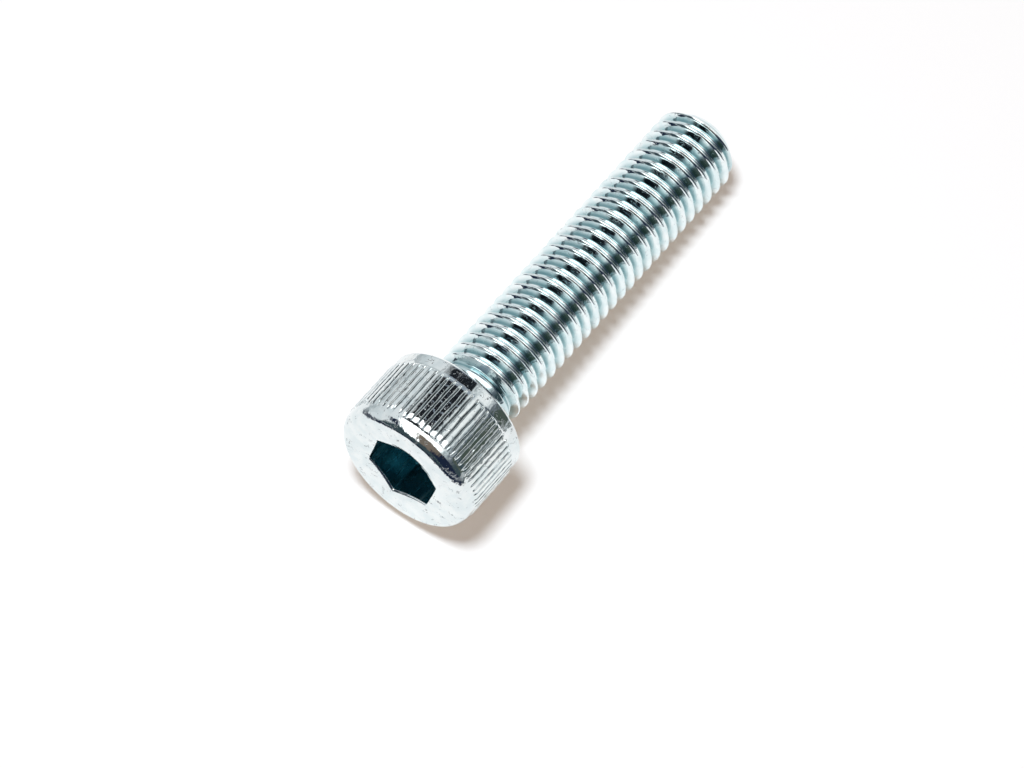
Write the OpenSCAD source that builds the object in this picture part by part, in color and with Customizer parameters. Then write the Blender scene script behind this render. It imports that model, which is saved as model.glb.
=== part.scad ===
// Socket head cap screw with a straight-knurled cylindrical head, threaded up to the head.
// The screw lies on the plane z = 0, on the knurl's rear end and the last full thread crest at its tip.
// +X runs from the head to the tip and the origin is at the middle of the bounding box's underside.
// Every feature is first built along the screw's own axis: x = 0 is the bearing face under the head,
// the head is at negative x and the thread at positive x. The whole screw is laid down at the end.

/* [Head] */
// Diameter over the knurl's ridges
head_d = 13.2; // [12.4:0.1:14]
// Diameter of the plain band behind the knurl and of the shoulder in front of it
band_d = 13; // [12:0.1:13.1]
// Height of the head, from its bearing face to its top face
head_h = 8; // [7:0.25:10]
// Diameter of the flat top face
face_d = 11.44; // [10.6:0.02:11.8]
// Radius of the rounded shoulder between the top face and the side
shoulder_r = 1.24; // [0.9:0.02:1.4]
// Diameter of the flat bearing face under the head
washer_face_d = 12.3; // [11.6:0.1:12.8]
// Height of the chamfer at the rear edge of the head
rear_chamfer_h = 0.35; // [0.1:0.05:0.8]

/* [Knurl] */
// Number of straight ridges round the head
knurl_count = 67; // [48:1:84]
// Depth of the grooves between the ridges
knurl_depth = 0.24; // [0.15:0.01:0.3]
// Distance from the top face to the knurl's front end
knurl_front = 1.42; // [1.4:0.02:2.5]
// Width of the plain band between the knurl and the bearing face
band_w = 1.64; // [1:0.02:2.5]
// Share of one ridge's spacing that its top takes up
ridge_top_share = 0.5; // [0.1:0.05:0.7]
// Clocking of the knurl against the socket
knurl_turn = 2.6; // [0:0.1:7.5]

/* [Socket] */
// Width across the flats of the hexagon socket
socket_af = 6.1; // [5:0.05:6.5]
// Depth of the socket's straight flats
socket_depth = 4.2; // [3.5:0.1:5]
// Diameter of the countersink at the socket's mouth, a little over the hexagon's corners
mouth_d = 7.7; // [7:0.1:8.4]
// Angle between the countersink and the top face
mouth_slope = 15; // [10:1:40]
// Angle between the socket's conical floor and the top face
floor_slope = 25; // [10:1:35]

/* [Thread] */
// Diameter over the thread's crests
thread_d = 7.87; // [7:0.01:8]
// Distance from one crest to the next
pitch = 1.25; // [1:0.05:1.5]
// Length of the shank, from the bearing face to the tip
shank_l = 35; // [20:1:50]
// Length of the plain neck under the head
neck_l = 1.2; // [0.8:0.1:3]
// How far the neck stands proud of the blank that the thread is rolled on
neck_step = 0.05; // [0.02:0.01:0.15]
// Radius of the fillet between the neck and the bearing face
fillet_r = 0.4; // [0.2:0.05:0.6]
// Length over which the thread rises from the blank to its full depth
runout_l = 1.9; // [1:0.1:3]
// How far the tip's end face is turned down below the thread's root
tip_drop = 0.4; // [0.1:0.05:0.8]
// Angle between the tip's chamfer and the axis
tip_angle = 45; // [30:1:60]

/* [Pose] */
// Turn of the screw about its own axis, which sets where a socket corner points
roll = 13.6; // [0:0.1:60]
// Clocking of the thread's start against the socket
thread_phase = 9.3; // [0:0.1:359]

/* [Resolution] */
// Flat strips round one turn of the thread
turn_steps = 40; // [24:1:48]

/* [Hidden] */
round_fn = 96;

// Thread section of an ISO metric screw: shares of the pitch and of the sharp triangle's height
crest_share = 1 / 8;
root_share = 1 / 4;
root_depth = 0.6134 * pitch;
blank_depth = 0.325 * pitch;
thread_r = thread_d / 2;
root_r = thread_r - root_depth;
blank_r = thread_r - blank_depth;
neck_r = blank_r + neck_step;
tip_r = root_r - tip_drop;
tip_chamfer_l = (thread_r - tip_r) / tan(tip_angle);

// Head, socket and knurl
head_r = head_d / 2;
band_r = band_d / 2;
face_r = face_d / 2;
core_r = band_r - shoulder_r;
shoulder_l = sqrt(pow(shoulder_r, 2) - pow(face_r - core_r, 2));
washer_face_r = washer_face_d / 2;
valley_r = head_r - knurl_depth;
knurl_l = head_h - knurl_front - band_w;
socket_r = socket_af / sqrt(3);
mouth_r = mouth_d / 2;
mouth_depth = (mouth_r - socket_af / 2) * tan(mouth_slope);
floor_depth = socket_af / 2 * tan(floor_slope);
cut_over = 0.5;

// The lines of the thread's section inside one pitch, as [share of the pitch, radius]
thread_lines = [
    [0, thread_r],
    [crest_share, thread_r],
    [(1 + crest_share - root_share) / 2, root_r],
    [(1 + crest_share + root_share) / 2, root_r]
];
lines_per_pitch = len(thread_lines);
thread_turns = ceil((shank_l - neck_l) / pitch) + 1;
line_count = (thread_turns + 1) * lines_per_pitch;
crest_lead = thread_phase / 360 * pitch;
first_turn = floor((neck_l - crest_lead) / pitch) - 1;

// Rest on the plane: the knurl's rear end and the last full crest on the underside touch it
under_angle = 270 - roll;
under_crest = crest_lead + (under_angle / 360 + crest_share / 2) * pitch;
last_full = floor((shank_l - tip_chamfer_l - under_crest) / pitch);
tip_contact = under_crest + last_full * pitch;
head_contact = -band_w;
tilt = atan((head_r - thread_r) / (tip_contact - head_contact));
axis_z = head_contact * sin(tilt) + head_r * cos(tilt);
x_min = -head_h * cos(tilt) - face_r * sin(tilt);
x_max = shank_l * cos(tilt) + tip_r * sin(tilt);
axis_x = -(x_min + x_max) / 2;

// Turns a solid built up the Z axis so that it runs along +X
module along_x() {
    rotate([0, 90, 0]) children();
}

// Revolves a flat profile, drawn with its radius along X and its place on the axis along Y
module turned() {
    along_x() rotate_extrude($fn = round_fn) children();
}

// A hexagon, star or circle extruded along +X from x = start
module bar(start, length) {
    translate([start, 0, 0]) along_x() linear_extrude(length) children();
}

// The knurl's cross-section: a ridge with a flat top for each V groove
module knurl_section() {
    ridge = 360 / knurl_count;
    half_top = ridge * ridge_top_share / 2;
    polygon([
        for (i = [0:knurl_count - 1], p = [[-half_top, head_r], [half_top, head_r], [ridge / 2, valley_r]])
            p[1] * [cos(i * ridge + p[0]), sin(i * ridge + p[0])]
    ]);
}

// The head's core, from the top face to the bearing face, which its shoulder, knurl and band are built round
module head_core() {
    turned() translate([0, -head_h]) square([core_r, head_h]);
}

// Front of the head: shoulder and the plain ring in front of the knurl. The shoulder's arc runs into the
// side without an edge and meets the top face at one.
module shoulder() {
    turned() {
        translate([0, shoulder_l - head_h]) square([band_r, knurl_front - shoulder_l]);
        intersection() {
            translate([core_r, shoulder_l - head_h]) circle(shoulder_r, $fn = round_fn);
            translate([0, -head_h]) square([band_r, shoulder_l]);
        }
    }
}

// Rear of the head: plain band, chamfer and bearing face
module rear_band() {
    turned() polygon([[0, -band_w], [band_r, -band_w], [band_r, -rear_chamfer_h],
                      [washer_face_r, 0], [0, 0]]);
}

// Neck under the head, with its fillet to the bearing face
module neck() {
    foot_r = neck_r + fillet_r;
    turned() {
        translate([0, -cut_over]) square([neck_r, neck_l + cut_over]);
        difference() {
            translate([0, -cut_over]) square([foot_r, fillet_r + cut_over]);
            translate([foot_r, fillet_r]) circle(fillet_r, $fn = round_fn);
        }
    }
}

// Everything that is cut from the head to make the socket: mouth, hexagon and conical floor
module socket_cut() {
    top = -head_h;
    flat_r = socket_af / 2;
    bar(top - cut_over, socket_depth + cut_over) circle(socket_r, $fn = 6);
    turned() {
        polygon([[0, top - cut_over], [mouth_r, top - cut_over], [mouth_r, top],
                 [flat_r, top + mouth_depth], [0, top + mouth_depth]]);
        polygon([[0, top + mouth_depth], [flat_r, top + mouth_depth],
                 [flat_r, top + socket_depth], [0, top + socket_depth + floor_depth]]);
    }
}

// Radius that the thread has at x when its full section there has radius r: it rises out of the blank
// over the run-out and is cut down by the chamfer at the tip
function thread_radius(x, r) =
    let (
        rise = min(1, max(0, (x - neck_l) / runout_l)),
        rolled = blank_r + (r - blank_r) * rise,
        chamfer = tip_r + (shank_l - x) * tan(tip_angle)
    ) min(rolled, chamfer);

// One point of the thread: line k of the section, at step j of a turn
function thread_point(k, j) =
    let (
        line = thread_lines[k % lines_per_pitch],
        turn = first_turn + floor(k / lines_per_pitch) + j / turn_steps,
        x = min(shank_l, max(neck_l, crest_lead + (turn + line[0]) * pitch)),
        r = thread_radius(x, line[1]),
        a = 360 * j / turn_steps
    ) [x, r * cos(a), r * sin(a)];

// A right-hand thread on its core, as one closed surface. The lines of the section are helices, so a
// turn's last step meets the line one pitch further on. Lines past an end are drawn in to that end.
module thread() {
    points = [for (j = [0:turn_steps], k = [0:line_count - 1]) thread_point(k, j)];
    function at(k, j) = j * line_count + k;
    function seam(k, j) = j < turn_steps ? at(k, j) : at(min(k + lines_per_pitch, line_count - 1), 0);
    function tri(a, b, c) =
        points[a] == points[b] || points[b] == points[c] || points[c] == points[a] ? [] : [[a, b, c]];
    sides = [
        for (j = [0:turn_steps - 1], k = [0:line_count - 2])
            each concat(tri(at(k, j), at(k + 1, j), seam(k + 1, j + 1)),
                        tri(at(k, j), seam(k + 1, j + 1), seam(k, j + 1)))
    ];
    neck_end = [for (j = [0:turn_steps - 1]) at(0, j)];
    tip_end = [for (j = [turn_steps - 1:-1:0]) at(line_count - 1, j)];
    polyhedron(points, concat(sides, [neck_end, tip_end]), convexity = 20);
}

// The screw along its own axis
module screw() {
    difference() {
        union() {
            head_core();
            shoulder();
            bar(knurl_front - head_h, knurl_l) rotate(90 + knurl_turn) knurl_section();
            rear_band();
        }
        socket_cut();
    }
    neck();
    thread();
}

module cap_screw() {
    color([0.72, 0.78, 0.79])
        translate([axis_x, 0, axis_z]) rotate([0, tilt, 0]) rotate([roll, 0, 0]) screw();
}

cap_screw();
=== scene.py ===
"""Looks of a zinc-plated socket head cap screw that lies on its knurled head and its last full thread crest.

Shapes are worked out in millimetres along the screw's own axis: x = 0 is the bearing face, the head is at
negative x and the thread at positive x. A point is (x, radius, angle), and put_in_place turns, tilts and lays
it down in metres. A row is one ring of points, as the pair (x, radius) of arrays over the angle.
"""
import functools
import math

import bmesh
import bpy
import numpy as np
from mathutils import Matrix


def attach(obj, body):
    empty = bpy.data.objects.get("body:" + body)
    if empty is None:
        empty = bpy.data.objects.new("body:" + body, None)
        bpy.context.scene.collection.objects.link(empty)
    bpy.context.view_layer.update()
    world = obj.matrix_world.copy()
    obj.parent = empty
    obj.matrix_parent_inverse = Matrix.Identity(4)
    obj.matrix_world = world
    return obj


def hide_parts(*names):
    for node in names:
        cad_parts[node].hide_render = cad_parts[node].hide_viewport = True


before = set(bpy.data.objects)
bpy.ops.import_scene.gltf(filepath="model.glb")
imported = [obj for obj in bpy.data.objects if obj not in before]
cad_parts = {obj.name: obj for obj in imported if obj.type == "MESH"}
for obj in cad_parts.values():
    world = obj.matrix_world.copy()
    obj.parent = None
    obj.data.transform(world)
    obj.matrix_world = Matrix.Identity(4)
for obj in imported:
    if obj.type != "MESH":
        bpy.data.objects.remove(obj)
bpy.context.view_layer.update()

# ---------------------------------------------------------------- sizes, in millimetres and degrees

MM = 0.001

HEAD_H = 8.0
KNURL_R = 6.6
BAND_R = 6.5
FLAT_R = 5.72              # outer edge of the flat top face
SHOULDER_R = 1.24          # radius of the rounded shoulder
WASHER_R = 6.15            # outer edge of the bearing face
REAR_CHAMFER = 0.35
BAND_W = 1.64              # plain band behind the knurl
KNURL_COUNT = 67
KNURL_FRONT = 1.42         # from the top face
KNURL_DEPTH = 0.24
KNURL_TURN = 2.6           # angle of one ridge's middle in the screw's own frame

SOCKET_AF = 6.1
SOCKET_DEPTH = 4.2
MOUTH_R = 3.85
MOUTH_SLOPE = 15.0
FLOOR_SLOPE = 25.0

THREAD_R = 3.935
PITCH = 1.25
SHANK_L = 35.0
NECK_L = 1.2
NECK_STEP = 0.05
FILLET_R = 0.4
RUNOUT_L = 1.9
TIP_DROP = 0.4
TIP_ANGLE = 45.0
THREAD_TURN = 9.3
CREST_SHARE = 1 / 8        # width of the nominal crest, in pitches
FLANK_LEAN = math.radians(30)

ROLL = 13.6

# Roundings that cold heading, rolling and wear leave on the nominal edges
CORNER_DOWN = 0.2          # reach of the socket's worn corner down the flats
CORNER_OUT = 0.24          # reach of the same corner out over the countersink
CORNER_OUT_MOST = 0.7      # the most of the countersink that it takes up, as a share
CORNER_NORM = 70           # the higher, the sharper the hexagon's own corners
WALL_FOOT = 0.08           # height of the bend at the foot of the socket's flats
MOUTH_RIM = 0.08           # width of the flat strip that holds the countersink's rim sharp
FACE_EDGE = 0.07           # width over which the top face bends down
FACE_EDGE_ARC = 0.09       # part of the shoulder's arc over which it does, in radians
REAR_EDGE = 0.06           # reach of the bends at the rear chamfer's two edges
WASHER_EDGE = 0.08         # reach of the second of them over the bearing face
NECK_EDGE = 0.05           # reach of the bend at the neck's end
CREST_ROUND = 0.108 * PITCH
ROOT_ROUND = 0.1443 * PITCH
FLANK_BOW = 0.004          # how far a flank bulges at its middle
TIP_EDGE = 0.05            # softness of the edges that the tip's chamfer cuts

# Irregular knurl: each sine is (height, rate along the knurl, step from one ridge to the next, phase)
GROOVE_WANDER = [(0.03, 0, 2.4, 0), (0.025, 0, 5.7, 0), (0.02, 9, 1.7, 0)]      # in ridge spacings
GROOVE_DEEPER = [(0.10, 0, 3.1, 1)]                                             # as a share of the depth
FRONT_RAGGED = [(0.12, 0, 1.9, 0), (0.09, 0, 4.3, 2)]                           # of a groove's front end
REAR_RAGGED = [(0.03, 0, 2.9, 0)]                                               # of a ridge's rear end
WALL_RAGGED = [(0.03, 13, 2.1, 0)]                                              # in ridge spacings
BEADS = [(0.007, 31, 4.1, 0), (0.005, 57, 9.7, 0), (0.004, 88, 2.3, 0)]         # on a ridge's top
BEAD_TOP = 0.016           # the most that the beads add up to, which the ridges are lowered by
WALL_W = 0.16              # width of a groove's wall, in ridge spacings
RIDGE_CROWN = 0.07         # drop from the middle of a ridge's top to its sides, as a share of the depth
FRONT_LEAD = 0.14          # how far in front of its ragged front end a groove begins to form
GROOVE_RISE = 0.09         # share of the knurl's length over which a groove reaches its depth

# Slope behind each ridge: distance behind its end, share of its height that is left, and rise over the band
RIDGE_ENDS = [(0.07, 0.35, 0.05), (0.13, 0.0, 0.02), (0.20, 0.0, 0.0)]

# How finely the pieces are divided
PER_RIDGE = 14             # points across one ridge's spacing
KNURL_ROWS = 27
THREAD_STEPS = 164         # steps round one turn of the thread
NECK_LAP = 0.3             # length of the shank's piece that is hidden in the neck
NECK_END_R = 2.0           # last ring of the head's piece, hidden in the shank
MERGE = 1e-7               # in metres: points closer than this are one

# Worked out from the sizes
TOP = -HEAD_H
SHOULDER_CORE = BAND_R - SHOULDER_R
SHOULDER_START = math.asin((FLAT_R - SHOULDER_CORE) / SHOULDER_R)
SHOULDER_L = SHOULDER_R * math.cos(SHOULDER_START)
RIDGE = 2 * math.pi / KNURL_COUNT
MOUTH_RISE = math.tan(math.radians(MOUTH_SLOPE))
FLOOR_RISE = math.tan(math.radians(FLOOR_SLOPE))
TIP_RISE = math.tan(math.radians(TIP_ANGLE))
ROOT_DEPTH = 0.6134 * PITCH
BLANK_R = THREAD_R - 0.325 * PITCH
NECK_R = BLANK_R + NECK_STEP
TIP_R = THREAD_R - ROOT_DEPTH - TIP_DROP
TIP_CHAMFER = (THREAD_R - TIP_R) / TIP_RISE

# The screw rests on the knurl's rear end and on the last full crest on its underside
LEAD = THREAD_TURN / 360 * PITCH
UNDER_CREST = LEAD + ((270 - ROLL) / 360 + CREST_SHARE / 2) * PITCH
TIP_CONTACT = UNDER_CREST + math.floor((SHANK_L - TIP_CHAMFER - UNDER_CREST) / PITCH) * PITCH
TILT = math.atan((KNURL_R - THREAD_R) / (TIP_CONTACT + BAND_W))
AXIS_Z = -BAND_W * math.sin(TILT) + KNURL_R * math.cos(TILT)
X_MIN = -HEAD_H * math.cos(TILT) - FLAT_R * math.sin(TILT)
X_MAX = SHANK_L * math.cos(TILT) + TIP_R * math.sin(TILT)
AXIS_X = -(X_MIN + X_MAX) / 2


# ---------------------------------------------------------------- meshes

def put_in_place(x, radius, angle):
    """Points in metres where the screw lies: turned by the roll about its axis, tilted about Y, then
    shifted."""
    turned = angle + math.radians(ROLL)
    y = radius * np.cos(turned)
    z = radius * np.sin(turned)
    return MM * np.stack([
        AXIS_X + x * math.cos(TILT) + z * math.sin(TILT),
        y,
        AXIS_Z - x * math.sin(TILT) + z * math.cos(TILT),
    ], axis=-1)


def on_axis(*x):
    """Points in metres at these places on the screw's axis."""
    return put_in_place(np.array(x), np.zeros(len(x)), 0.0)


def mesh_object(name, points, faces):
    """A smooth-shaded object of these points and faces, put into the scene."""
    mesh = bpy.data.meshes.new(name)
    mesh.from_pydata(points.tolist(), [], faces)
    mesh.polygons.foreach_set("use_smooth", np.ones(len(mesh.polygons), bool))
    made = bpy.data.objects.new(name, mesh)
    bpy.context.scene.collection.objects.link(made)
    return made


def grid_quads(number):
    """A quad for each cell of a grid of point numbers."""
    return np.stack([number[:-1, :-1], number[:-1, 1:], number[1:, 1:], number[1:, :-1]], -1).reshape(-1, 4)


def fan(pole, rim, following):
    """A triangle from the pole to each step of a rim."""
    return np.stack([np.full(len(rim), pole), rim, following], -1)


def smooth_step(t):
    """3t^2 - 2t^3 between 0 and 1, flat outside."""
    t = np.clip(t, 0, 1)
    return t * t * (3 - 2 * t)


def ripple(terms, along, number):
    """A sum of sines of the place along and of a ridge's or groove's number."""
    return sum(height * np.sin(along * rate + number * step + phase) for height, rate, step, phase in terms)


def ring(angle, x, radius):
    """The row of a round form: one place on the axis and one radius at every angle."""
    return x + 0 * angle, radius + 0 * angle


def bend(p0, p1, p2, count):
    """Rows of a quadratic Bezier arc from row p0 to row p2 with its corner at row p1."""
    return [tuple((1 - s) ** 2 * a + 2 * s * (1 - s) * b + s ** 2 * c for a, b, c in zip(p0, p1, p2))
            for s in np.linspace(0, 1, count)]


def straight(p0, p1, shares):
    """Rows at the given shares of the way from row p0 to row p1."""
    return [tuple(a + (b - a) * s for a, b in zip(p0, p1)) for s in shares]


# ---------------------------------------------------------------- head

def socket_corner(angle):
    """Three rows round the worn corner between the flats and the countersink: below it, at the nominal
    corner and outside it. The hexagon's radius is half its width over the norm of the cosines to its six
    flats, with a high power that rounds its corners a little."""
    flats = np.cos(angle[None] - np.radians(np.arange(0, 360, 60))[:, None]).clip(0)
    hexagon = SOCKET_AF / 2 / (flats ** CORNER_NORM).sum(0) ** (1 / CORNER_NORM)
    width = MOUTH_R - hexagon
    crease = (TOP + width * MOUTH_RISE, hexagon)
    below = (crease[0] + CORNER_DOWN, hexagon)
    share = np.minimum(CORNER_OUT / np.hypot(width, width * MOUTH_RISE), CORNER_OUT_MOST)
    outer = (crease[0] + (TOP - crease[0]) * share, hexagon + width * share)
    return below, crease, outer


def socket_rows(angle):
    """The socket's conical floor and its flats, up to just below the worn corner."""
    below, _, _ = socket_corner(angle)
    hexagon = below[1]
    floor_x = TOP + SOCKET_DEPTH
    rows = [(floor_x + (SOCKET_AF / 2 - hexagon * s) * FLOOR_RISE, hexagon * s) for s in (0.05, 0.5, 0.98)]
    foot = (floor_x - WALL_FOOT + 0 * angle, hexagon)
    return rows + [foot] + straight(foot, below, (0.3, 0.7, 0.95))


def face_rows(angle):
    """The worn corner, the countersink, the flat top face, the bend at its edge and the shoulder's arc."""
    below, crease, outer = socket_corner(angle)
    rim = ring(angle, TOP, MOUTH_R)

    def on_arc(turn):
        return ring(angle, TOP + SHOULDER_L - SHOULDER_R * math.cos(turn),
                    SHOULDER_CORE + SHOULDER_R * math.sin(turn))

    arc_start = SHOULDER_START + FACE_EDGE_ARC
    rows = bend(below, crease, outer, 7)
    rows += straight(outer, rim, (0.5, 0.9))
    rows += [rim, ring(angle, TOP, MOUTH_R + MOUTH_RIM)]
    rows += straight(rim, ring(angle, TOP, FLAT_R), (0.3, 0.65, 0.93))
    rows += bend(ring(angle, TOP, FLAT_R - FACE_EDGE), ring(angle, TOP, FLAT_R), on_arc(arc_start), 6)
    return rows + [on_arc(turn) for turn in np.linspace(arc_start, math.pi / 2, 17)[1:]]


def knurl_rows(angle):
    """The knurl from its front end to the slope behind its rear end. Each ridge is broad and nearly level
    with a narrow V groove on either side: with d the distance from the nearest groove's middle in ridge
    spacings, the wall rises as a smooth step of d over the wall's width, and the top bulges a little from
    there on. Ripples make the grooves wander and leave small beads on the ridges."""
    turn = (angle - math.radians(KNURL_TURN)) / RIDGE
    groove = np.floor(turn)
    ridge = np.round(turn)
    deep = KNURL_DEPTH * (1 + ripple(GROOVE_DEEPER, 0, groove))
    start = TOP + KNURL_FRONT - FRONT_LEAD + ripple(FRONT_RAGGED, 0, groove)
    rear = -BAND_W + ripple(REAR_RAGGED, 0, ridge)
    rows = []
    for s in np.linspace(0, 1, KNURL_ROWS):
        d = np.abs(turn - groove - 0.5 - ripple(GROOVE_WANDER, s, groove))
        wall = smooth_step(d / (WALL_W + ripple(WALL_RAGGED, s, ridge)))
        crown = RIDGE_CROWN * np.clip(1 - 2 * d, 0, 1) ** 2
        drop = deep * (1 - wall * (1 - crown)) + BEAD_TOP - ripple(BEADS, s, ridge) * wall
        grown = smooth_step(s / GROOVE_RISE)
        rows.append((start + (rear - start) * s, BAND_R + (KNURL_R - drop - BAND_R) * grown))
    last = rows[-1][1]
    return rows + [(rear + behind, last * left + (1 - left) * (BAND_R + rise))
                   for behind, left, rise in RIDGE_ENDS]


def rear_rows(angle):
    """The plain band, the rear chamfer, the bearing face, the fillet's quarter circle and the neck."""
    foot = NECK_R + FILLET_R
    rows = [ring(angle, x, BAND_R) for x in (-1.3, -0.9, -REAR_CHAMFER - 0.1)]
    rows += bend(ring(angle, -REAR_CHAMFER - REAR_EDGE, BAND_R), ring(angle, -REAR_CHAMFER, BAND_R),
                 ring(angle, -REAR_CHAMFER + REAR_EDGE, BAND_R - REAR_EDGE), 4)
    rows += bend(ring(angle, -REAR_EDGE, WASHER_R + REAR_EDGE), ring(angle, 0, WASHER_R),
                 ring(angle, 0, WASHER_R - WASHER_EDGE), 4)
    rows += [ring(angle, 0, WASHER_R - 0.4), ring(angle, 0, foot + 0.3)]
    rows += [ring(angle, FILLET_R * (1 - math.cos(turn)), foot - FILLET_R * math.sin(turn))
             for turn in np.radians(np.linspace(0, 90, 7))]
    rows += bend(ring(angle, NECK_L - NECK_EDGE, NECK_R), ring(angle, NECK_L, NECK_R),
                 ring(angle, NECK_L, NECK_R - NECK_EDGE), 3)
    return rows + [ring(angle, NECK_L, NECK_END_R)]


def head_piece():
    """Head, socket and neck as one closed tube: its rows follow the section from the socket's floor out
    over the top face, down the side and in over the bearing face to the neck's end, and a fan closes it at
    either end. The faces of the socket's rows take the second material."""
    columns = KNURL_COUNT * PER_RIDGE
    angle = 2 * math.pi * np.arange(columns) / columns
    socket = socket_rows(angle)
    rows = socket + face_rows(angle) + knurl_rows(angle) + rear_rows(angle)
    x, radius = (np.stack([row[part] for row in rows]) for part in (0, 1))
    ends = on_axis(TOP + SOCKET_DEPTH + SOCKET_AF / 2 * FLOOR_RISE, NECK_L)
    points = np.concatenate([put_in_place(x, radius, angle).reshape(-1, 3), ends])
    number = np.arange(x.size).reshape(x.shape)
    number = np.concatenate([number, number[:, :1]], axis=1)
    quads = grid_quads(number)
    floor_fan = fan(x.size, number[0, 1:], number[0, :-1])
    neck_fan = fan(x.size + 1, number[-1, :-1], number[-1, 1:])
    head = mesh_object("head", points, quads.tolist() + floor_fan.tolist() + neck_fan.tolist())
    slots = np.zeros(len(head.data.polygons), int)
    slots[:len(socket) * columns] = 1
    slots[len(quads):len(quads) + columns] = 1
    head.data.polygons.foreach_set("material_index", slots)
    head.data.update()
    return head


# ---------------------------------------------------------------- shank

def thread_section():
    """One pitch of the rolled thread's section as (share of the pitch, radius): a round crest and a round
    root, each tangent to flanks that lean 30 degrees from the radius, and a slight outward bow of the
    flanks."""
    crest = [(CREST_ROUND * math.cos(turn), THREAD_R - CREST_ROUND + CREST_ROUND * math.sin(turn))
             for turn in np.linspace(math.pi / 2, FLANK_LEAN, 5)]
    valley = THREAD_R - ROOT_DEPTH + ROOT_ROUND
    root = [(PITCH / 2 - ROOT_ROUND * math.cos(turn), valley - ROOT_ROUND * math.sin(turn))
            for turn in np.linspace(FLANK_LEAN, math.pi / 2, 4)]
    top = np.array(crest[-1])
    foot = np.array(root[0])
    outward = np.array([math.cos(FLANK_LEAN), math.sin(FLANK_LEAN)]) * FLANK_BOW
    flank = [tuple(top + (foot - top) * s + outward * 4 * s * (1 - s)) for s in (0.18, 0.5, 0.82)]
    half = crest + flank + root
    section = np.array(half + [(PITCH - x, r) for x, r in half[-2:0:-1]])
    return section[:, 0] / PITCH, section[:, 1]


def thread_radius(x, full):
    """The full section's radius at x, drawn in to the blank at the neck by a smooth step over the run-out,
    and cut by the tip's chamfer with the softened smaller of two values, (a + b - sqrt((a - b)^2 + e^2)) /
    2."""
    rolled = BLANK_R + (full - BLANK_R) * smooth_step((x - NECK_L) / RUNOUT_L)
    chamfer = TIP_R + (SHANK_L - x) * TIP_RISE
    cut = (rolled + chamfer - np.sqrt((rolled - chamfer) ** 2 + TIP_EDGE ** 2)) / 2
    return np.where(x < NECK_L, BLANK_R, np.where(x < SHANK_L, cut, TIP_R))


def shank_piece():
    """The thread as one closed surface of helical lines: line k is at x = lead + (turn + share) * pitch,
    and the last step of a turn meets the line one pitch further on. Lines beyond an end are drawn in to
    that end, where their points are merged."""
    share, radius = thread_section()
    per_pitch = len(share)
    start = NECK_L - NECK_LAP
    first = math.floor((start - LEAD) / PITCH) - 1
    lines = per_pitch * (math.ceil((SHANK_L - LEAD) / PITCH) + 1 - first)
    line = np.arange(lines)
    turn = np.arange(THREAD_STEPS)[:, None] / THREAD_STEPS
    x = np.clip(LEAD + (first + line // per_pitch + share[line % per_pitch] + turn) * PITCH, start, SHANK_L)
    points = put_in_place(x, thread_radius(x, radius[line % per_pitch]), 2 * math.pi * turn)
    number = np.arange(x.size).reshape(x.shape)
    beyond = number[0][np.minimum(line + per_pitch, lines - 1)]
    number = np.concatenate([number, beyond[None]]).T
    neck_fan = fan(x.size, number[0, 1:], number[0, :-1])
    tip_fan = fan(x.size + 1, number[-1, :-1], number[-1, 1:])
    shank = mesh_object("threaded_shank", np.concatenate([points.reshape(-1, 3), on_axis(start, SHANK_L)]),
                        grid_quads(number).tolist() + neck_fan.tolist() + tip_fan.tolist())
    drawn_in = bmesh.new()
    drawn_in.from_mesh(shank.data)
    bmesh.ops.remove_doubles(drawn_in, verts=drawn_in.verts, dist=MERGE)
    drawn_in.to_mesh(shank.data)
    drawn_in.free()
    return shank


# ---------------------------------------------------------------- shader nodes

def fill(tree, inputs, given):
    """Links each named or numbered input to a socket, or sets it to a value. A colour is given as three
    numbers."""
    for key, value in given.items():
        if isinstance(value, bpy.types.NodeSocket):
            tree.links.new(value, inputs[key])
        else:
            inputs[key].default_value = (*value, 1) if inputs[key].type == "RGBA" else value


def node(tree, kind, given, out=0, **settings):
    """Adds a node with these settings and inputs, and returns its output named or numbered by out."""
    made = tree.nodes.new(kind)
    for key, value in settings.items():
        setattr(made, key, value)
    fill(tree, made.inputs, given)
    return made.outputs[out]


def calc(tree, operation, *values):
    return node(tree, "ShaderNodeMath", dict(enumerate(values)), operation=operation)


def total(tree, *values):
    return functools.reduce(lambda first, second: calc(tree, "ADD", first, second), values)


def product(tree, *values):
    return functools.reduce(lambda first, second: calc(tree, "MULTIPLY", first, second), values)


def vector_calc(tree, operation, *values, out="Vector"):
    return node(tree, "ShaderNodeVectorMath", dict(enumerate(values)), out, operation=operation)


def step_up(tree, value, low, high):
    """0 below low, 1 above high, smooth between them."""
    return node(tree, "ShaderNodeMapRange", {"Value": value, "From Min": low, "From Max": high}, "Result",
                interpolation_type="SMOOTHSTEP")


def step_down(tree, value, low, high):
    """1 below low, 0 above high, smooth between them."""
    return calc(tree, "SUBTRACT", 1.0, step_up(tree, value, low, high))


def mix(tree, share, first, second, blend="MIX"):
    return node(tree, "ShaderNodeMixRGB", {"Fac": share, "Color1": first, "Color2": second}, blend_type=blend)


def noise(tree, vector, scale, detail, rough=0.5, out="Fac"):
    """Noise with about scale lumps to the millimetre, where the vector is in millimetres."""
    return node(tree, "ShaderNodeTexNoise",
                {"Vector": vector, "Scale": scale, "Detail": detail, "Roughness": rough}, out)


def ramp(tree, share, stops):
    """A colour ramp with a stop for each pair (place, colour)."""
    made = tree.nodes.new("ShaderNodeValToRGB")
    elements = made.color_ramp.elements
    while len(elements) < len(stops):
        elements.new(0.5)
    for element, (place, colour) in zip(elements, stops):
        element.position = place
        element.color = (*colour, 1)
    tree.links.new(share, made.inputs["Fac"])
    return made.outputs["Color"]


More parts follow.
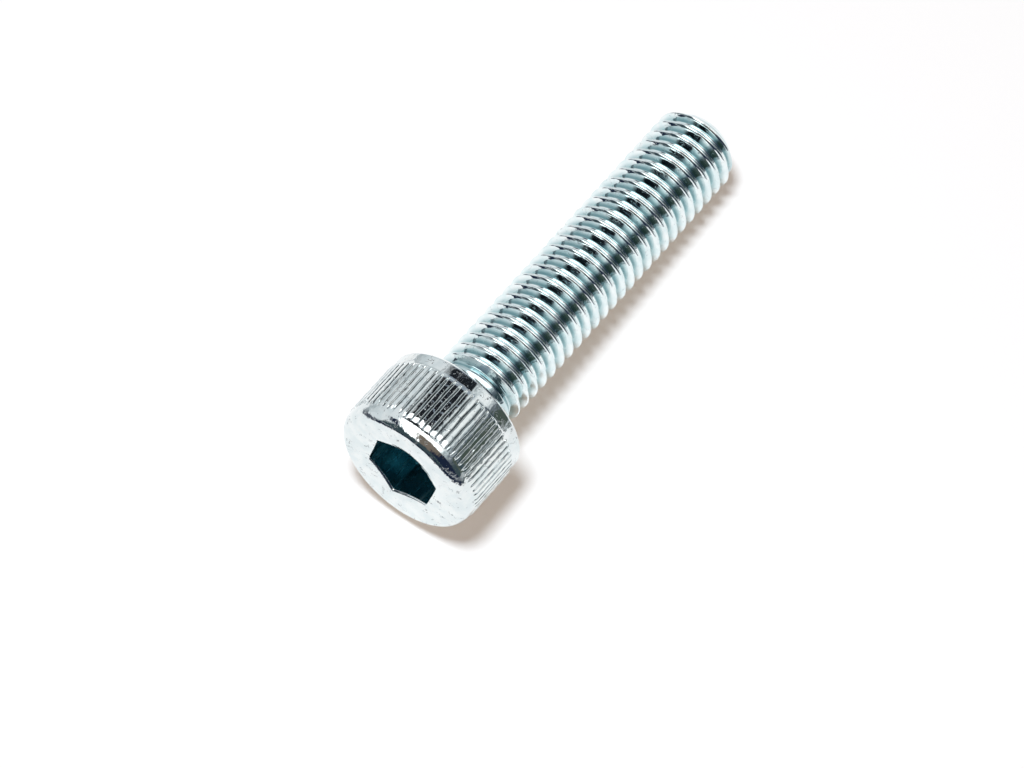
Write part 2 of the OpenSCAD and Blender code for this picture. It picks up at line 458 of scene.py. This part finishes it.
def group(name, inputs, outputs):
    """An empty node group with named sockets. An input is given as (name, kind, default) and an output as
    (name, kind). Returns the tree, its inputs by name, and the inputs of the node that takes its
    outputs."""
    tree = bpy.data.node_groups.new(name, "ShaderNodeTree")
    for label, kind, default in inputs:
        socket = tree.interface.new_socket(label, in_out="INPUT", socket_type=kind)
        if default is not None:
            socket.default_value = default
    for label, kind in outputs:
        tree.interface.new_socket(label, in_out="OUTPUT", socket_type=kind)
    start = tree.nodes.new("NodeGroupInput")
    end = tree.nodes.new("NodeGroupOutput")
    return tree, start.outputs, end.inputs


def use(tree, shared, given):
    """Puts a shared group into a tree and returns its outputs."""
    made = tree.nodes.new("ShaderNodeGroup")
    made.node_tree = shared
    fill(tree, made.inputs, given)
    return made.outputs


VECTOR = "NodeSocketVector"
VALUE = "NodeSocketFloat"


def screw_place():
    """Group: the shaded point in the screw's own frame, in millimetres and degrees. Along is measured from
    the bearing face towards the tip, Turn from the top of the screw as it lies, towards the camera's
    side."""
    tree, _, end = group("screw_place", [],
                         [("Place", VECTOR), ("Along", VALUE), ("Turn", VALUE), ("Radius", VALUE)])
    moved = vector_calc(tree, "SUBTRACT", node(tree, "ShaderNodeTexCoord", {}, "Object"),
                        (AXIS_X * MM, 0, AXIS_Z * MM))
    level = node(tree, "ShaderNodeVectorRotate", {"Vector": moved, "Angle": -TILT}, rotation_type="Y_AXIS")
    own = node(tree, "ShaderNodeVectorMath", {0: level, "Scale": 1 / MM}, "Vector", operation="SCALE")
    split = tree.nodes.new("ShaderNodeSeparateXYZ")
    tree.links.new(own, split.inputs[0])
    x, y, z = split.outputs
    turn = product(tree, calc(tree, "ARCTAN2", product(tree, y, -1.0), z), 180 / math.pi)
    radius = calc(tree, "SQRT", total(tree, product(tree, y, y), product(tree, z, z)))
    fill(tree, end, {"Place": own, "Along": x, "Turn": turn, "Radius": radius})
    return tree


WARP = (0.5, 0.5, 0.5)     # how far noise pushes the pits and scratches about, in millimetres
PIT_DEPTH = 0.02
SCRATCH_DEPTH = 0.01
SCUFF_DEPTH = 0.005


def plating_wear():
    """Group: what handling and rolling leave on bright zinc. Flow is the place with its X across the
    streaks and its Y along them, in millimetres. Mottle is a slow variation, Scuff marks dull rubbed spots,
    Pit small dark holes, Scratch curved hairlines, and Height adds them, fine streaks along the flow and
    shallow dents up in millimetres for a bump."""
    tree, given, end = group(
        "plating_wear",
        [("Place", VECTOR, None), ("Flow", VECTOR, None), ("Streak Size", VALUE, 6.0),
         ("Streak Depth", VALUE, 0.004), ("Pits", VALUE, 0.5), ("Dents", VALUE, 0.01)],
        [("Mottle", VALUE), ("Scuff", VALUE), ("Pit", VALUE), ("Scratch", VALUE), ("Height", VALUE)])
    place = given["Place"]
    flow = given["Flow"]
    mottle = noise(tree, place, scale=0.9, detail=3.0)
    scuff = step_up(tree, noise(tree, flow, scale=1.3, detail=4.0, rough=0.65), 0.56, 0.68)
    warp = vector_calc(tree, "MULTIPLY", noise(tree, place, scale=4.0, detail=1.0, out="Color"), WARP)
    bent = vector_calc(tree, "ADD", place, warp)

    # a pit is the middle of a cell, in the places that a slow noise picks
    cell = node(tree, "ShaderNodeTexVoronoi", {"Vector": bent, "Scale": 1.7}, "Distance")
    picked = step_up(tree, noise(tree, place, scale=1.1, detail=1.0), 0.44, 0.54)
    pit = product(tree, step_down(tree, cell, 0.07, 0.13), picked, given["Pits"])

    # a scratch is a contour line of a slow noise, in the places that another one picks
    level = noise(tree, bent, scale=0.7, detail=2.0)
    hairline = step_down(tree, calc(tree, "ABSOLUTE", calc(tree, "SUBTRACT", level, 0.5)), 0.003, 0.009)
    picked = step_up(tree, noise(tree, place, scale=1.4, detail=1.0), 0.52, 0.58)
    scratch = product(tree, hairline, picked, given["Pits"])

    fine = noise(tree, flow, given["Streak Size"], detail=1.0, rough=0.4)
    streak = product(tree, fine, given["Streak Depth"])
    dull = product(tree, scuff, noise(tree, place, scale=14.0, detail=1.0), SCUFF_DEPTH)
    dent = product(tree, noise(tree, place, scale=1.5, detail=2.0, rough=0.6), given["Dents"])
    hollow = total(tree, product(tree, pit, PIT_DEPTH), product(tree, scratch, SCRATCH_DEPTH))
    height = calc(tree, "SUBTRACT", total(tree, streak, dull, dent), hollow)
    fill(tree, end, {"Mottle": mottle, "Scuff": scuff, "Pit": pit, "Scratch": scratch, "Height": height})
    return tree


# ---------------------------------------------------------------- materials

ARC_LENGTH = math.pi / 180 * THREAD_R      # millimetres round the shank to one degree
HELIX_STRETCH = 0.12       # the streaks' scale along the helix, as a share of that across it
AXIS_STRETCH = 0.16        # the same along the axis
SCUFF_GREY = (0.80, 0.80, 0.78)
PIT_DARK = (0.10, 0.11, 0.12)
# painted shade, multiplied into the thread's lower flanks
FLANK_SHADE = (0.50, 0.62, 0.64)
# painted shade, multiplied into the knurl's grooves
GROOVE_SHADE = (0.22, 0.24, 0.26)

HEAD_FINISH = {
    "tints": ((0.72, 0.79, 0.80), (0.81, 0.86, 0.86)),
    "roughness": 0.05,
    "wear": {"Streak Size": 4.0, "Streak Depth": 0.006, "Pits": 0.8, "Dents": 0.028},
}
# Painted shade: the socket's dark teal tints stand in for the shade inside its recess; its roughness and wear
# are the plating's own.
SOCKET_SHADE_AND_FINISH = {
    "tints": ((0.08, 0.28, 0.34), (0.11, 0.32, 0.37)),
    "roughness": 0.24,
    "wear": {"Streak Size": 3.0, "Streak Depth": 0.004, "Pits": 0.0, "Dents": 0.02},
}
THREAD_FINISH = {
    "tints": ((0.76, 0.87, 0.885), (0.86, 0.925, 0.93)),
    "roughness": 0.01,
    "wear": {"Streak Size": 4.0, "Streak Depth": 0.005, "Pits": 0.3, "Dents": 0.012},
}


def helix_flow(tree, place):
    """Across the helix, along it, and the radius."""
    across = total(tree, place["Along"], product(tree, place["Turn"], PITCH / 360))
    around = product(tree, place["Turn"], ARC_LENGTH)
    parts = (across, product(tree, around, HELIX_STRETCH), place["Radius"])
    return node(tree, "ShaderNodeCombineXYZ", dict(enumerate(parts)))


def axis_flow(tree, place):
    """Round the screw, along its axis, and the radius."""
    around = product(tree, place["Turn"], ARC_LENGTH)
    parts = (around, product(tree, place["Along"], AXIS_STRETCH), place["Radius"])
    return node(tree, "ShaderNodeCombineXYZ", dict(enumerate(parts)))


def flank_painted_shade(tree, place):
    """A mask of painted shade, darker colour where shade falls between the turns: it fades up the thread's
    flanks and leaves out the root.
    """
    above_root = step_up(tree, place["Radius"], THREAD_R - 0.72, THREAD_R - 0.62)
    upper = step_up(tree, place["Radius"], THREAD_R - 0.60, THREAD_R - 0.12)
    return calc(tree, "SUBTRACT", above_root, upper)


def knurl_groove_painted_shade(tree, place):
    """A mask of painted shade in the knurl's grooves, where shade falls: below the ridges' tops, outside the
    socket and between the knurl's ends."""
    outer = step_up(tree, place["Radius"], KNURL_R - 0.6, KNURL_R - 0.5)
    tops = step_up(tree, place["Radius"], KNURL_R - KNURL_DEPTH, KNURL_R - 0.10)
    behind_front = step_up(tree, place["Along"], TOP + KNURL_FRONT, TOP + KNURL_FRONT + 0.2)
    before_rear = step_down(tree, place["Along"], -BAND_W - 0.05, -BAND_W + 0.02)
    return product(tree, calc(tree, "SUBTRACT", outer, tops), product(tree, behind_front, before_rear))


def zinc(name, shared, finish, flow, shaded, shade):
    """Bright zinc plating over the screw's own frame: two tints mixed by the mottle, greyer where it is
    scuffed, multiplied by a painted shade colour where the mask of painted shade is, dark in the pits and
    scratches, duller by the scuffs and the mottle, and a bump from the wear's height."""
    material = bpy.data.materials.new(name)
    material.use_nodes = True
    tree = material.node_tree
    place = use(tree, shared["place"], {})
    wear = use(tree, shared["wear"], {"Place": place["Place"], "Flow": flow(tree, place), **finish["wear"]})
    tone = mix(tree, step_up(tree, wear["Mottle"], 0.35, 0.65), *finish["tints"])
    tone = mix(tree, product(tree, wear["Scuff"], 0.25), tone, SCUFF_GREY)
    tone = mix(tree, shaded(tree, place), tone, shade, blend="MULTIPLY")
    tone = mix(tree, calc(tree, "MAXIMUM", wear["Pit"], wear["Scratch"]), tone, PIT_DARK)
    rough = total(tree, product(tree, wear["Scuff"], 0.10), product(tree, wear["Mottle"], 0.06),
                  finish["roughness"])
    bump = node(tree, "ShaderNodeBump", {"Height": wear["Height"], "Distance": MM, "Strength": 1.0}, "Normal")
    fill(tree, tree.nodes["Principled BSDF"].inputs,
         {"Metallic": 1.0, "Base Color": tone, "Roughness": rough, "Normal": bump})
    return material


# ---------------------------------------------------------------- build

shared = {"place": screw_place(), "wear": plating_wear()}
head = head_piece()
shank = shank_piece()
head.data.materials.append(zinc("zinc_head", shared, HEAD_FINISH, axis_flow, knurl_groove_painted_shade, GROOVE_SHADE))
head.data.materials.append(zinc("zinc_socket_painted_shade", shared, SOCKET_SHADE_AND_FINISH, axis_flow, knurl_groove_painted_shade, GROOVE_SHADE))
shank.data.materials.append(zinc("zinc_thread", shared, THREAD_FINISH, helix_flow, flank_painted_shade, FLANK_SHADE))
for piece in (head, shank):
    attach(piece, "root")
    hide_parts("cap_screw")


# ---------------------------------------------------------------- floor

FLOOR_HALF = 0.07          # in metres
FLOOR_COLOUR = (0.78, 0.80, 0.81)
FLOOR_GLOW = (0.27, 0.20, 0.145)


def floor():
    """A pale sheet. What the camera and the metal see of it is lifted by a plain glow, and its shadow
    stays."""
    corners = FLOOR_HALF * np.array([(-1, -1, 0), (1, -1, 0), (1, 1, 0), (-1, 1, 0)])
    sheet = mesh_object("floor", corners, [(0, 1, 2, 3)])
    material = bpy.data.materials.new("floor")
    material.use_nodes = True
    tree = material.node_tree
    shader = tree.nodes["Principled BSDF"]
    fill(tree, shader.inputs, {"Base Color": FLOOR_COLOUR, "Roughness": 0.9, "Specular IOR Level": 0.0})
    path = tree.nodes.new("ShaderNodeLightPath")
    seen = calc(tree, "MAXIMUM", path.outputs["Is Camera Ray"], path.outputs["Is Glossy Ray"])
    glow = node(tree, "ShaderNodeEmission", {"Color": FLOOR_GLOW, "Strength": seen})
    both = node(tree, "ShaderNodeAddShader", {0: shader.outputs[0], 1: glow})
    tree.links.new(both, tree.nodes["Material Output"].inputs["Surface"])
    sheet.data.materials.append(material)


floor()


# ---------------------------------------------------------------- surroundings

WHITE = (1.0, 1.0, 1.0)
LAMP = (2.3, 2.3, 2.3)
PALE = (0.82, 0.84, 0.86)
MILKY = (0.62, 0.66, 0.68)
BLUE_GREY = (0.30, 0.34, 0.40)
SLATE = (0.16, 0.18, 0.21)
DARK_TEAL = (0.05, 0.075, 0.085)
GREENISH = (0.075, 0.095, 0.080)
BROWN = (0.20, 0.16, 0.13)
NAVY = (0.012, 0.020, 0.045)
BLACK = (0.008, 0.010, 0.014)
DIM = (0.14, 0.14, 0.15)   # what the floor gets from all round

# What stands round the screw, as the metal shows it. A direction is its angle about the screw's axis, from +Y
# over the top, and its share along the axis. Each belt has colours at angles in degrees.
AXIS_BELT = [(0, DARK_TEAL), (180, DARK_TEAL)]
FAR_HEAD_BELT = [(0, PALE), (3, DARK_TEAL), (52, DARK_TEAL), (61, LAMP), (84, LAMP), (91, BROWN),
                 (115, BROWN), (130, NAVY), (176, NAVY), (180, PALE)]
HEAD_BELT = [(0, PALE), (36, PALE), (43, NAVY), (54, NAVY), (61, LAMP), (84, LAMP), (91, BROWN), (128, BROWN),
             (140, NAVY), (174, NAVY), (180, PALE)]
MIDDLE_BELT = [(0, MILKY), (30, PALE), (54, PALE), (62, LAMP), (126, LAMP), (135, MILKY), (146, SLATE),
               (158, DARK_TEAL), (176, DARK_TEAL), (180, PALE)]
BAND_BELT = [(0, MILKY), (30, PALE), (50, PALE), (64, BLACK), (104, BLACK), (110, MILKY), (120, WHITE),
             (132, WHITE), (139, MILKY), (146, SLATE), (153, GREENISH), (174, GREENISH), (180, PALE)]
TIP_BELT = [(0, MILKY), (50, MILKY), (62, BLUE_GREY), (104, BLUE_GREY), (111, MILKY), (122, WHITE),
            (134, MILKY), (144, SLATE), (155, DARK_TEAL), (176, DARK_TEAL), (180, PALE)]

# From the head's end on, each belt with the shares along the axis between which it takes over
BELTS = [(AXIS_BELT, None), (FAR_HEAD_BELT, (-0.92, -0.87)), (HEAD_BELT, (-0.74, -0.62)),
         (MIDDLE_BELT, (-0.22, -0.12)), (BAND_BELT, (0.28, 0.34)), (TIP_BELT, (0.51, 0.56))]

# The dark ring where the belts meet the floor fades out between two heights, and is stronger at the head
HORIZON = (0.03, 0.08)
HORIZON_STRENGTH = 0.2
HORIZON_AT_HEAD = 0.7


def surroundings():
    """The world: white for the camera, a plain dim level for the floor, and the belts for the metal, with a
    dark ring where they meet the floor."""
    world = bpy.data.worlds.new("surroundings")
    bpy.context.scene.world = world
    world.use_nodes = True
    tree = world.node_tree
    tree.nodes.clear()
    direction = node(tree, "ShaderNodeTexCoord", {}, "Generated")

    def share_of(axis):
        return vector_calc(tree, "DOT_PRODUCT", direction, axis, out="Value")

    along = share_of((math.cos(TILT), 0, -math.sin(TILT)))
    up = share_of((math.sin(TILT), 0, math.cos(TILT)))
    angle = calc(tree, "ARCTAN2", up, share_of((0, 1, 0)))
    turn = calc(tree, "ABSOLUTE", calc(tree, "DIVIDE", angle, math.pi))
    colour = None
    for stops, zone in BELTS:
        belt = ramp(tree, turn, [(degrees / 180, tone) for degrees, tone in stops])
        colour = belt if zone is None else mix(tree, step_up(tree, along, *zone), colour, belt)
    head_side = step_down(tree, along, -0.3, 0.3)
    strength = calc(tree, "MULTIPLY_ADD", head_side, HORIZON_AT_HEAD, HORIZON_STRENGTH)
    darkened = product(tree, step_down(tree, share_of((0, 0, 1)), *HORIZON), strength)
    colour = mix(tree, darkened, colour, NAVY)
    path = tree.nodes.new("ShaderNodeLightPath")
    colour = mix(tree, path.outputs["Is Diffuse Ray"], colour, DIM)
    colour = mix(tree, path.outputs["Is Camera Ray"], colour, WHITE)
    background = node(tree, "ShaderNodeBackground", {"Color": colour, "Strength": 1.0})
    tree.links.new(background, tree.nodes.new("ShaderNodeOutputWorld").inputs["Surface"])


surroundings()


# ---------------------------------------------------------------- light and camera, in metres

LIGHT_PLACE = (-0.08, 0.015, 0.49)
LIGHT_RIGHT = (0.49, 0.0, 0.08)
LIGHT_SIZE = 0.13
LIGHT_POWER = 2.28
LIGHT_COLOUR = (0.88, 0.94, 1.0)

CAMERA_PLACE = (-0.187, -0.1341, 0.3984)
CAMERA_BACK = (-0.3957, -0.2932, 0.8704)
CAMERA_RIGHT = (0.5954, -0.8034, 0.0)
FOCAL_PIXELS = 5430
PICTURE_WIDTH = 1024       # in pixels
SENSOR_WIDTH = 36          # in millimetres


def aimed(back, place, side):
    """A matrix for a lamp or camera at a place, with its back along one direction and its right near
    another."""
    back = np.array(back) / np.linalg.norm(back)
    right = np.array(side) - back * (np.array(side) @ back)
    right /= np.linalg.norm(right)
    up = np.cross(back, right)
    return Matrix(np.vstack([np.column_stack([right, up, back, place]), [0, 0, 0, 1]]).tolist())


def overhead_light():
    """One large soft light nearly straight above, aimed at the middle of the screw, which draws a narrow
    shadow. The metal shows the belts instead of it."""
    light = bpy.data.lights.new("overhead", "AREA")
    light.shape = "DISK"
    light.size = LIGHT_SIZE
    light.energy = LIGHT_POWER
    light.color = LIGHT_COLOUR
    lamp = bpy.data.objects.new("overhead", light)
    bpy.context.scene.collection.objects.link(lamp)
    lamp.visible_glossy = False
    lamp.matrix_world = aimed(LIGHT_PLACE, LIGHT_PLACE, LIGHT_RIGHT)


def camera():
    """A long lens 0.46 m away, looking down on the screw from the head's side."""
    data = bpy.data.cameras.new("camera")
    data.sensor_width = SENSOR_WIDTH
    data.lens = FOCAL_PIXELS / PICTURE_WIDTH * SENSOR_WIDTH
    data.clip_start = 0.01
    view = bpy.data.objects.new("camera", data)
    bpy.context.scene.collection.objects.link(view)
    view.matrix_world = aimed(CAMERA_BACK, CAMERA_PLACE, CAMERA_RIGHT)
    bpy.context.scene.camera = view


overhead_light()
camera()
bpy.context.scene.view_settings.view_transform = "Standard"
